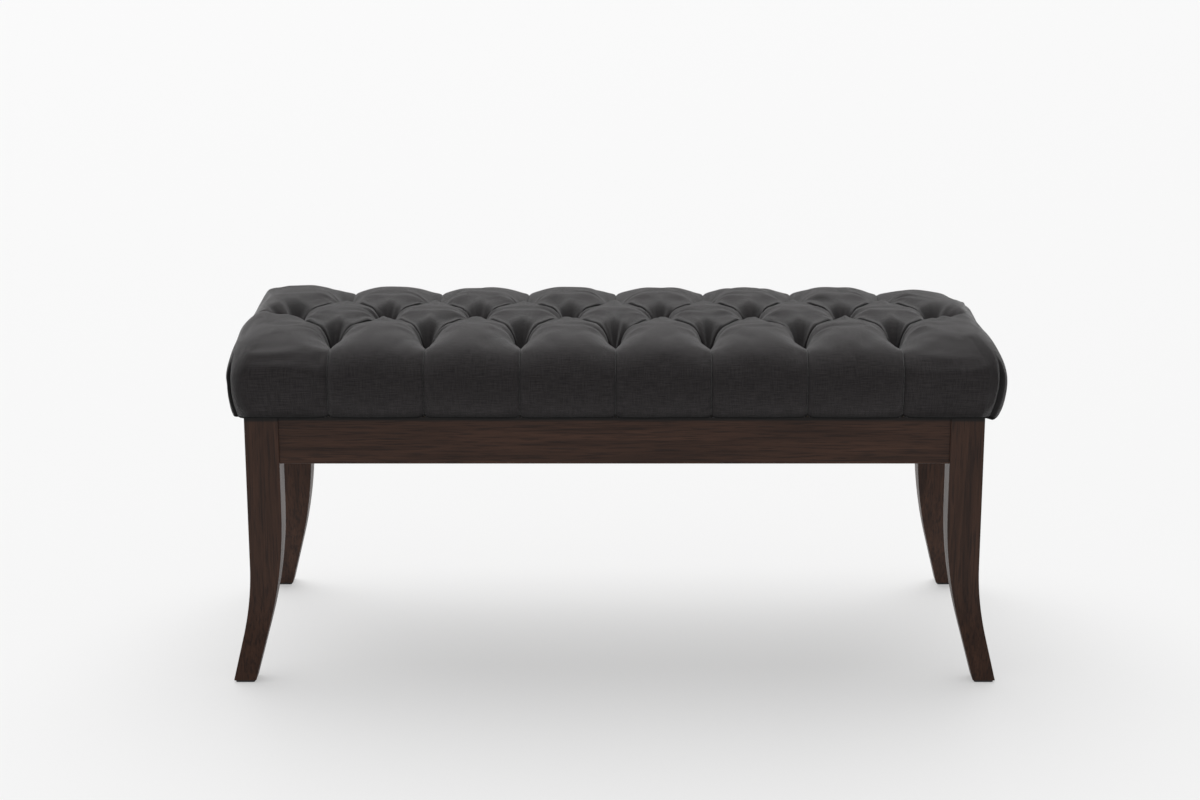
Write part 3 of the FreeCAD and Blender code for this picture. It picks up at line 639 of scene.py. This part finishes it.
def pulled_down(p, station):
    """How far the cloth lies under the untufted pad at a point of the flat cloth, and the shade painted in
    its creases.
    """
    side = eased(station, SIDE_STARTS, SIDE_FULL)
    terms = [*fold_depths(p, side), *pleat_depths(p, station)]
    wrinkle = 0.0
    for button, fan in zip(tufts, creases):
        away = p - button
        if away.length < PIT_FELT:
            terms.append(pit_depth(button, away))
            wrinkle += creased(away, fan)
    joined = min(sum(term ** 4 for term in terms) ** 0.25, PIT_DEPTH)
    wrinkle *= 1 - 0.8 * side
    lump, thin = lumpy(p)
    # The second value is the painted shade along the creases.
    return joined + wrinkle + lump * (1 - 0.4 * side) + thin, min(wrinkle / (3 * MM), 0.55)


def sunk(p, station):
    """How far the cloth has gone straight down with the sagging corner; the side's foot stays in place."""
    near = math.exp(-((p - SAGGING_CORNER).length / SAG_REACH) ** 2)
    return SAG_DROP * near * (1 - eased(station, 0.3, 1.05))


def to_button(p):
    """Distance over the cloth to the nearest button."""
    return min((p - button).length for button in tufts)


# %% [markdown]
# ### One cell as a grid
#
# Each cell starts as a plain grid from the grid operator, and a function then lays every point of it
# on the pad. At a lapped fold one cell lies on top: its border stands a little proud and is rolled
# under. The other cell bends down just before the border and dives below the first. A number stored
# on the points is painted shade: it is high where the cloth is tucked away, and the fabric's colour is
# darkened there.

# %% Laying a grid of cloth
# At each lapped border shade is painted on the cloth: shade gives its amount at the border and on each
# tucked point, and dark gives how far in mm it reaches.
OVER = {
    "tuck": [(1.1, -0.4), (1.7, -1.5), (1.4, -3.0), (0.2, -5.0)],      # out and up from the border, in mm
    "rise": 1.0, "reach": 6, "shade": (0.3, 0.6, 1.0, 1.0, 1.0), "dark": 1.2,
}
UNDER = {
    "tuck": [(0.5, -1.4), (1.1, -3.2), (1.7, -5.4), (2.4, -8.0)],
    "rise": -2.4, "reach": 4.0, "shade": (1.0, 1.0, 1.0, 1.0, 1.0), "dark": 2.9,
}
TUCKS = len(OVER["tuck"])
TUCK_STEP = 1.5 * MM            # cloth between two tucked points
# Shade is painted on the cloth round each button, fading out at this distance.
BUTTON_SHADE = 18 * MM          # the cloth is darker up to this far from a button


def cosine_steps(count, pull=0.55):
    """Values from 0 to 1 that lie closer together at both ends."""
    return [k / count - pull * math.sin(2 * math.pi * k / count) / (2 * math.pi) for k in range(count + 1)]


def clamped(index, extra, values):
    """Where an index falls in the values, how far it lies past either end, and which end that is."""
    k = index - extra
    last = len(values) - 1
    return min(max(k, 0), last), (-k if k < 0 else max(k - last, 0)), (0 if k < 0 else 1)


def lay_cell(bm, columns, rows, surface, borders, flip, uv_layer, painted_shade_layer):
    """Adds one cell. borders gives OVER, UNDER or None at the columns' and the rows' start and end."""
    extra = [TUCKS if border else 0 for border in borders]
    wide = len(columns) - 1 + extra[0] + extra[1]
    high = len(rows) - 1 + extra[2] + extra[3]
    made = bmesh.ops.create_grid(bm, x_segments=wide, y_segments=high, size=0.5)["verts"]
    last_i, last_j = len(columns) - 1, len(rows) - 1
    known = {}

    def point(i, j):
        """Place, normal, place on the flat cloth, and shade of one crossing of the grid."""
        if (i, j) not in known:
            place, normal, flat, station, *more = surface(columns[i], rows[j])
            away = to_button(flat)
            depth, crease_shade = pulled_down(flat, station)
            # Painted shade: near a button, in creases, beside the corner's folded edge and along lapped
            # borders.
            rise, shade = 0.0, max(1 - eased(away, PIT_INNER, BUTTON_SHADE), crease_shade, *more)
            for border, (bi, bj) in zip(borders, ((0, j), (last_i, j), (i, 0), (i, last_j))):
                if border:
                    gap = (surface(columns[bi], rows[bj])[0] - place).length / MM
                    rise += border["rise"] * MM * math.exp(-(gap / border["reach"]) ** 2)
                    shade = max(shade, border["shade"][0] * math.exp(-(gap / border["dark"]) ** 2))
            rise *= (0.25 + 0.75 * eased(away, PIT_INNER, 30 * MM)) * (1 - 0.4 * eased(station, 0.3, 1))
            place = place + normal * (rise - depth) - Vector((0, 0, sunk(flat, station)))
            known[i, j] = place, normal, flat, shade
        return known[i, j]

    flat_of = {}
    for vert in made:
        i, past_i, end_i = clamped(round((vert.co.x + 0.5) * wide), extra[0], columns)
        j, past_j, end_j = clamped(round((vert.co.y + 0.5) * high), extra[2], rows)
        place, normal, flat, shade = point(i, j)
        place, flat = place.copy(), flat.copy()
        ends = (
            (past_i, borders[end_i], i in (0, last_i), (i + 1 - 2 * end_i, j)),
            (past_j, borders[2 + end_j], j in (0, last_j), (i, j + 1 - 2 * end_j)),
        )
        for past, border, at_border, inner in ends:
            if past:
                beside = point(*inner)
                out = point(i, j)[0] - beside[0]
                out -= normal * out.dot(normal)
                out.normalize()
                over, up = border["tuck"][past - 1]
                place += out * over * MM + normal * up * MM
                flat += (flat - beside[2]).normalized() * past * TUCK_STEP
            if border and at_border:
                shade = max(shade, border["shade"][past])
        vert.co = place
        # The painted shade is stored on the point.
        vert[painted_shade_layer] = shade
        flat_of[vert] = flat
    faces = {face for vert in made for face in vert.link_faces}
    for face in faces:
        for loop in face.loops:
            loop[uv_layer].uv = flat_of[loop.vert]
    if flip:
        bmesh.ops.reverse_faces(bm, faces=list(faces))


# %% The diamonds between four buttons
cover_bm = bmesh.new()
# The second layer holds the shade painted on each point of the cloth.
cover_layers = (cover_bm.loops.layers.uv.new("cloth"), cover_bm.verts.layers.float.new("painted_shade"))
diamond_steps = cosine_steps(36)
for k, (front, rear) in enumerate(zip(front_row, rear_row)):
    left, right = middle_row[k], middle_row[k + 1]

    def diamond(a, b, front=front, rear=rear, left=left, right=right):
        p = front * (1 - a) * (1 - b) + right * a * (1 - b) + left * (1 - a) * b + rear * a * b
        return on_crown(p.x, p.y)

    # Lines b = 0 and a = 0 are the two front folds, where the diamond laps over; it dives at the rear ones.
    lay_cell(
        cover_bm, diamond_steps, diamond_steps, diamond, (OVER, UNDER, OVER, UNDER), False, *cover_layers
    )
print("diamonds:", len(cover_bm.faces), "faces")

# %% The cells along the front and the back
# From HEM_SHADED down, shade is painted on the side of the pad.
HEM_SHADED, HEM_STATION = 1.84, 1.94    # the side gets darker from the first and turns under at the second
crown_rows = cosine_steps(14, 0.3)
side_rows = [k / 16 for k in range(1, 17)] + [1 + k / 9 for k in range(1, 9)] + [HEM_STATION]
hem_rows = [(0.8, 1.3), (3.4, 0.2), (8, 0), (28, 0)]     # inwards from the side and up, in mm


def side_or_hem(row, at_station):
    """A point down the side, or on the hem turned under the board."""
    if row <= 2:
        return *at_station(row)[:4], max(eased(row, HEM_SHADED, HEM_STATION), *at_station(row)[4:], 0)
    inwards, up = hem_rows[round(row - 3)]
    place, normal, flat, *_ = at_station(HEM_STATION)
    outwards = Vector((normal.x, normal.y, 0)).normalized()
    droop = max(0, 4 - inwards) * (0.22 + 0.35 * noise.noise(place * 24)) * MM
    under = Vector((place.x, place.y, UNDERSIDE + up * MM - droop)) - outwards * inwards * MM
    away = flat.normalized() if abs(outwards.x * outwards.y) > 0.01 else Vector((outwards.x, outwards.y))
    # The hem turned under the board gets full painted shade.
    return under, Vector((0, 0, -1)), flat + away * (inwards + 4) * MM, 2.2, 1.0


all_rows = [v - 1 for v in crown_rows] + side_rows + [3 + k for k in range(len(hem_rows))]
edge_columns = cosine_steps(22, 0.5)
edge_columns = [c / 2 for c in edge_columns] + [0.5 + c / 2 for c in edge_columns[1:]]
for sign, row in ((-1, front_row), (1, rear_row)):
    for k in range(len(row) - 1):
        start, top, end = row[k], middle_row[k + 1], row[k + 1]

        def edge_cell(u, v, start=start, top=top, end=end, sign=sign):
            x = start.x + (end.x - start.x) * u
            if v > 0:
                return side_or_hem(v, lambda station: on_face(x, station, sign))
            rim = start.lerp(top, 2 * u) if u < 0.5 else top.lerp(end, 2 * u - 1)
            p = rim.lerp(Vector((x, sign * CROWN_Y)), v + 1)
            return on_crown(p.x, p.y)

        fold = UNDER if sign < 0 else OVER
        lay_cell(
            cover_bm, edge_columns, all_rows, edge_cell, (UNDER, OVER, fold, None), sign < 0, *cover_layers
        )
print("with front and back:", len(cover_bm.faces), "faces")

# %% [markdown]
# ### The corners
#
# At each corner the end's spare cloth is wrapped round towards the front and ends there in a folded
# edge, and the front's cloth goes in under it. In the grid this is a lip with a steep step beside it,
# so the columns lie close together there.

# %% The four corner cells
CORNER_FOLD = {-1: 1.42, 1: 1.56}       # where round the corner the edge lies, at the left and the right
LIP = (                                 # way from the edge, depth in mm and shade
    (-0.3, 0.0, 0), (-0.18, -0.6, 0), (-0.08, -1.3, 0), (-0.025, -1.1, 0.15), (0.0, 0.4, 0.9),
    (0.02, 3.6, 1.0), (0.05, 4.2, 1.0), (0.085, 2.6, 0.7), (0.13, 1.1, 0.1), (0.25, 0.4, 0), (0.4, 0.0, 0),
)


def folded_edge(away):
    """Depth in mm and shade beside the folded edge; away is measured as ways are, towards the front."""
    for (low, depth_low, shade_low), (high, depth_high, shade_high) in zip(LIP, LIP[1:]):
        if low <= away <= high:
            share = (away - low) / (high - low)
            return depth_low + (depth_high - depth_low) * share, shade_low + (shade_high - shade_low) * share
    return 0.0, 0.0


for sign_x in (-1, 1):
    fold_way = CORNER_FOLD[sign_x]
    round_ways = sorted({round(fold_way + away, 3) for away, _, _ in LIP} | {1.98})
    ways = [c for c in cosine_steps(16, 0.45) if c < round_ways[0] - 0.02] + round_ways
    ways += [2 + c for c in cosine_steps(16, 0.45) if 2 + c > ways[-1] + 0.02]
    for sign_y in (-1, 1):
        row = front_row if sign_y < 0 else rear_row
        outer = row[0] if sign_x < 0 else row[-1]
        end_button = middle_row[0] if sign_x < 0 else middle_row[-1]

        def ring(way, station, sign_x=sign_x, sign_y=sign_y, outer=outer, fold_way=fold_way):
            place, normal, flat, _ = round_corner(way, station, sign_x, sign_y, abs(outer.x))
            depth, shade = folded_edge(way - fold_way)
            grown = eased(station, 0.62, 0.95)
            return place - normal * depth * grown * MM, normal, flat, station, shade * grown

        def corner_cell(way, v, outer=outer, end_button=end_button, ring=ring):
            if v > 0:
                return side_or_hem(v, lambda station: ring(way, station))
            rim = end_button.lerp(outer, way / 3)
            p = rim.lerp(ring(way, 0)[2], v + 1)
            return on_crown(p.x, p.y)

        borders = (
            UNDER if sign_y < 0 else OVER, OVER if sign_x < 0 else UNDER, UNDER if sign_y < 0 else OVER, None
        )
        lay_cell(cover_bm, ways, all_rows, corner_cell, borders, sign_x * sign_y < 0, *cover_layers)
print("whole cover:", len(cover_bm.faces), "faces")


# %% Finish the cover
def as_piece(bm, name, material, smooth=True):
    """Makes the bmesh a named piece that stands still with the bench."""
    mesh = bpy.data.meshes.new(name)
    bm.to_mesh(mesh)
    bm.free()
    piece = bpy.data.objects.new(name, mesh)
    bpy.context.collection.objects.link(piece)
    mesh.materials.append(material)
    for polygon in mesh.polygons:
        polygon.use_smooth = smooth
    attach(piece, "root")
    return piece


def subdivide(piece, levels):
    """A live Subdivision Surface with the same levels in view and render."""
    modifier = piece.modifiers.new("rounding", "SUBSURF")
    modifier.levels = modifier.render_levels = levels
    return modifier


# Painted shadow: faces along the bottom edge take the dark copy of the linen.
SHADOW_LINE = UNDERSIDE + 2.8 * MM
for face in cover_bm.faces:
    if face.calc_center_median().z < SHADOW_LINE:
        face.material_index = 1
cover = as_piece(cover_bm, "tufted_cover", charcoal)
cover.data.materials.append(hem_shadow_cloth)

# %% [markdown]
# ### Let the stuffing push
#
# What is laid so far is too regular. So the cloth is handed to the cloth simulation for a moment: it is
# held wherever it is tucked away, cut a little too large, and the stuffing presses from below. It then
# puffs and wrinkles between its folds as real cloth does. No point may move further than a few
# millimetres, so the folds stay where they were laid.

# %% Simulate the cloth and apply the result
FRAMES = 20
MOST_MOVE = 2.4 * MM
STUFFING = {
    "quality": 4, "mass": 0.15, "tension_stiffness": 12, "compression_stiffness": 12, "shear_stiffness": 4,
    "bending_stiffness": 1.0, "shrink_min": -0.006, "use_pressure": True, "uniform_pressure_force": 4,
}


def settle(piece):
    """Puffs the cloth out between its folds, keeps the result in the mesh and returns the furthest move."""
    mesh = piece.data
    laid = [vert.co.copy() for vert in mesh.vertices]
    held = piece.vertex_groups.new(name="held")
    for vert, painted_shade in zip(mesh.vertices, mesh.attributes["painted_shade"].data):
        held.add([vert.index], min(1.0, 3 * painted_shade.value), "REPLACE")
    cloth = piece.modifiers.new("stuffing", "CLOTH")
    cloth.settings.vertex_group_mass = "held"
    for name, value in STUFFING.items():
        setattr(cloth.settings, name, value)
    cloth.settings.effector_weights.gravity = 0
    cloth.collision_settings.use_collision = False
    cloth.point_cache.frame_start, cloth.point_cache.frame_end = 1, FRAMES
    scene = bpy.context.scene
    for step in range(1, FRAMES + 1):
        scene.frame_set(step)
    evaluated = piece.evaluated_get(bpy.context.evaluated_depsgraph_get())
    settled = [vert.co.copy() for vert in evaluated.data.vertices]
    piece.modifiers.remove(cloth)
    piece.vertex_groups.remove(held)
    scene.frame_set(1)
    furthest = 0.0
    for vert, before, after in zip(mesh.vertices, laid, settled):
        move = after - before
        furthest = max(furthest, move.length)
        if move.length > 0:
            move *= MOST_MOVE * math.tanh(move.length / MOST_MOVE) / move.length
        vert.co = before + move
    mesh.update()
    return furthest


print("cloth moved up to", round(settle(cover) / MM, 1), "mm before the cap")
subdivide(cover, 1)
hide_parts("seat_cover", "wadding", "foam_core")

# %% [markdown]
# ## Covered buttons
#
# Each button is a metal shell pressed into the same cloth: a low dome with a rolled rim. A profile
# spun round the button's axis gives that shape in one operation.

# %% Spin the buttons
BUTTON_PROFILE = [                      # out from the axis and up from the seat, in mm
    (0, 5.6), (4, 5.2), (7.6, 4.1), (10, 2.5), (10.9, 1.1), (10.6, 0.1), (9.4, -0.5), (6, -0.6),
]


def make_buttons(name, row, node):
    bm = bmesh.new()
    uv_layer = bm.loops.layers.uv.new("cloth")
    for at in row:
        centre = Vector((at.x, at.y, BUTTON_SEAT))
        chain = [bm.verts.new(centre + Vector((r * MM, 0, z * MM))) for r, z in BUTTON_PROFILE]
        edges = [bm.edges.new(pair) for pair in zip(chain, chain[1:])]
        bmesh.ops.spin(
            bm, geom=chain + edges, cent=centre, axis=(0, 0, 1), angle=2 * math.pi, steps=28, use_merge=True
        )
    bmesh.ops.remove_doubles(bm, verts=bm.verts, dist=0.01 * MM)
    bmesh.ops.recalc_face_normals(bm, faces=bm.faces)
    for face in bm.faces:
        for loop in face.loops:
            loop[uv_layer].uv = loop.vert.co.xy
    piece = as_piece(bm, name, charcoal)
    subdivide(piece, 1)
    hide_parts(node)


for label, row in (("front", front_row), ("middle", middle_row), ("rear", rear_row)):
    make_buttons(f"covered_buttons_{label}", row, f"buttons_{label}_row")

# %% [markdown]
# ## Staples and dust cover
#
# Turned over, the pad shows how it is closed: staples hold the hem to the board, and a thin black
# sheet keeps the dust in. The sheet is trapped under the pad's edge and sags a little where nothing
# holds it up, so it is one grid whose free fields hang down in shallow bellies with a few ripples.

# %% Staples along the hem
STAPLE_IN, STAPLE_SPACING = 15 * MM, 32 * MM
STAPLE_SIZE = Vector((10, 1.1, 0.6)) * MM
CORNER_FREE = 30 * MM                   # no staple this close to the end of a row
STAPLE_TILT, STAPLE_STRAY = 0.22, 1     # most turn in radians and shift in mm


def make_staples():
    """Thin bars along all four sides, each a little askew."""
    bm = bmesh.new()
    reach_x, reach_y = HALF_X - STAPLE_IN, HALF_Y - STAPLE_IN
    places = []
    for sign in (-1, 1):
        count = int(2 * (reach_x - CORNER_FREE) / STAPLE_SPACING)
        places += [((k - count / 2) * STAPLE_SPACING, sign * reach_y, 0) for k in range(count + 1)]
        count = int(2 * (reach_y - CORNER_FREE) / STAPLE_SPACING)
        places += [(sign * reach_x, (k - count / 2) * STAPLE_SPACING, math.pi / 2) for k in range(count + 1)]
    for x, y, turn in places:
        turn += random.uniform(-STAPLE_TILT, STAPLE_TILT)
        y += random.uniform(-STAPLE_STRAY, STAPLE_STRAY) * MM
        where = Matrix.Translation((x, y, UNDERSIDE - STAPLE_SIZE.z / 2))
        shape = Matrix.Rotation(turn, 4, "Z") @ Matrix.Diagonal((*STAPLE_SIZE, 1))
        bmesh.ops.create_cube(bm, size=1, matrix=where @ shape)
    level = [edge for edge in bm.edges if abs(edge.verts[0].co.z - edge.verts[1].co.z) < 0.01 * MM]
    bmesh.ops.bevel(
        bm, geom=[edge for edge in level if edge.calc_length() > STAPLE_SIZE.x / 2], offset=0.2 * MM,
        segments=1, profile=0.5, affect="EDGES", material=-1,
    )
    print("staples", len(places))
    as_piece(bm, "hem_staples", black_steel, smooth=False)


make_staples()

# %% The dust cover
SHEET_SAG, SHEET_RIPPLE = 3.5 * MM, 0.8 * MM
RIPPLE_ALONG, RIPPLE_ACROSS = 9, 34     # ripples are long from end to end and narrow from front to back
BLOCK_STARTS, BLOCK_ENDS = 1.4, 1.72    # how far out, as x and y shares added up, the corner blocks hold it


def make_dust_sheet():
    """A sheet held between pad and frame, whose two free fields hang down a little."""
    low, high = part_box("dust_cover")
    middle_z = (low.z + high.z) / 2
    frame_x, frame_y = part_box("apron_right")[0].x, -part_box("apron_front")[1].y
    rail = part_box("centre_rail")[1].x
    bm = bmesh.new()
    bmesh.ops.create_grid(bm, x_segments=120, y_segments=46, size=0.5)
    for vert in bm.verts:
        x, y = vert.co.x * (high.x - low.x), vert.co.y * (high.y - low.y)
        sag = 0.0
        if rail < abs(x) < frame_x and abs(y) < frame_y:
            across = (abs(x) - rail) / (frame_x - rail)
            belly = math.sin(math.pi * across) * math.cos(math.pi * y / (2 * frame_y))
            free = 1 - eased(abs(x) / frame_x + abs(y) / frame_y, BLOCK_STARTS, BLOCK_ENDS)
            ripple = noise.noise(Vector((x * RIPPLE_ALONG, y * RIPPLE_ACROSS, 5.0)))
            sag = (SHEET_SAG * belly + SHEET_RIPPLE * ripple * min(1, 3 * belly)) * free
        vert.co = Vector((x, y, middle_z - sag))
    bmesh.ops.reverse_faces(bm, faces=bm.faces)
    sheet = as_piece(bm, "dust_sheet", spunbond)
    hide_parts("dust_cover")


make_dust_sheet()

# %% [markdown]
# ## Finishes on the ready-made solids

# %% Give each solid its finish
finishes = {
    "leg_": stained_upright, "apron_front": stained_long, "apron_rear": stained_long,
    "apron_left": stained_short, "apron_right": stained_short, "corner_block_": raw_long,
    "centre_rail": raw_rail, "apron_dowels": raw_long, "rail_dowels": raw_rail, "seat_board": raw_ply,
    "foot_glides": glide_black, "glide_nails": zinc, "hanger_bolts": zinc, "hanger_bolt_washers": zinc,
    "hanger_bolt_nuts": zinc, "corner_block_screws": black_steel, "seat_screws": black_steel,
    "twine_anchors": zinc, "button_twines": waxed_twine,
}
for name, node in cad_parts.items():
    for start, material in finishes.items():
        if name.startswith(start) and not node.hide_render:
            node.data.materials.clear()
            node.data.materials.append(material)

# %% [markdown]
# ## Floor, light and camera
#
# The bench stands on a seamless white floor in a pale room. One very large soft light shines down on
# it from behind, so that the fabric's crown is lighter than its front.

# %% Floor and light
def make_floor():
    bm = bmesh.new()
    bmesh.ops.create_grid(bm, x_segments=1, y_segments=1, size=30)
    mesh = bpy.data.meshes.new("floor")
    bm.to_mesh(mesh)
    bm.free()
    floor = bpy.data.objects.new("floor", mesh)
    bpy.context.collection.objects.link(floor)
    material, _, shader = new_material("white_floor")
    # The floor is lit from below as well, which keeps the shadow under the bench faint.
    shader.inputs["Base Color"].default_value = (0.46, 0.46, 0.46, 1)
    shader.inputs["Emission Color"].default_value = (1, 1, 1, 1)
    shader.inputs["Emission Strength"].default_value = 0.42
    shader.inputs["Roughness"].default_value = 0.7
    shader.inputs["Specular IOR Level"].default_value = 0.2
    mesh.materials.append(material)


make_floor()

FLOOR_SEEN, ROOM_LIGHT = 0.93, 0.3


def make_world():
    """An even pale backdrop for the eye, and a dimmer room for the light that it gives."""
    world = bpy.data.worlds.new("studio")
    bpy.context.scene.world = world
    world.use_nodes = True
    tree = world.node_tree
    room = tree.nodes["Background"]
    room.inputs["Color"].default_value = (1, 1, 1, 1)
    room.inputs["Strength"].default_value = ROOM_LIGHT
    seen = add(tree, "ShaderNodeBackground", {"Color": (1, 1, 1, 1), "Strength": FLOOR_SEEN})
    path = add(tree, "ShaderNodeLightPath")
    which = {0: path.outputs["Is Camera Ray"], 1: room.outputs[0], 2: seen.outputs[0]}
    chosen = add(tree, "ShaderNodeMixShader", which)
    tree.links.new(chosen.outputs[0], tree.nodes["World Output"].inputs["Surface"])


make_world()


def far_light(name, direction, strength, softness):
    """A very large soft light far away; direction points from the bench to the light."""
    lamp = bpy.data.lights.new(name, "SUN")
    lamp.energy = strength
    lamp.angle = math.radians(softness)
    holder = bpy.data.objects.new(name, lamp)
    holder.rotation_euler = Vector(direction).to_track_quat("Z", "Y").to_euler()
    bpy.context.collection.objects.link(holder)


far_light("overhead_from_behind", (-0.15, 0.75, 1.3), 2.75, 80)

# %% Camera
PHOTO_WIDTH, FOCAL_PIXELS = 1200, 2453
PHOTO_SHIFT = -14.5                     # the bench stands this many pixels right of the photo's middle
LOOKING_DOWN = 15.28                    # degrees
camera_data = bpy.data.cameras.new("camera")
camera_data.sensor_width = 36
camera_data.lens = camera_data.sensor_width * FOCAL_PIXELS / PHOTO_WIDTH
camera_data.shift_x = PHOTO_SHIFT / PHOTO_WIDTH
camera_data.clip_end = 100
camera = bpy.data.objects.new("camera", camera_data)
camera.location = (0, -3.226, 1.211)
camera.rotation_euler = (math.radians(90 - LOOKING_DOWN), 0, 0)
bpy.context.collection.objects.link(camera)
bpy.context.scene.camera = camera
bpy.context.scene.view_settings.view_transform = "Standard"
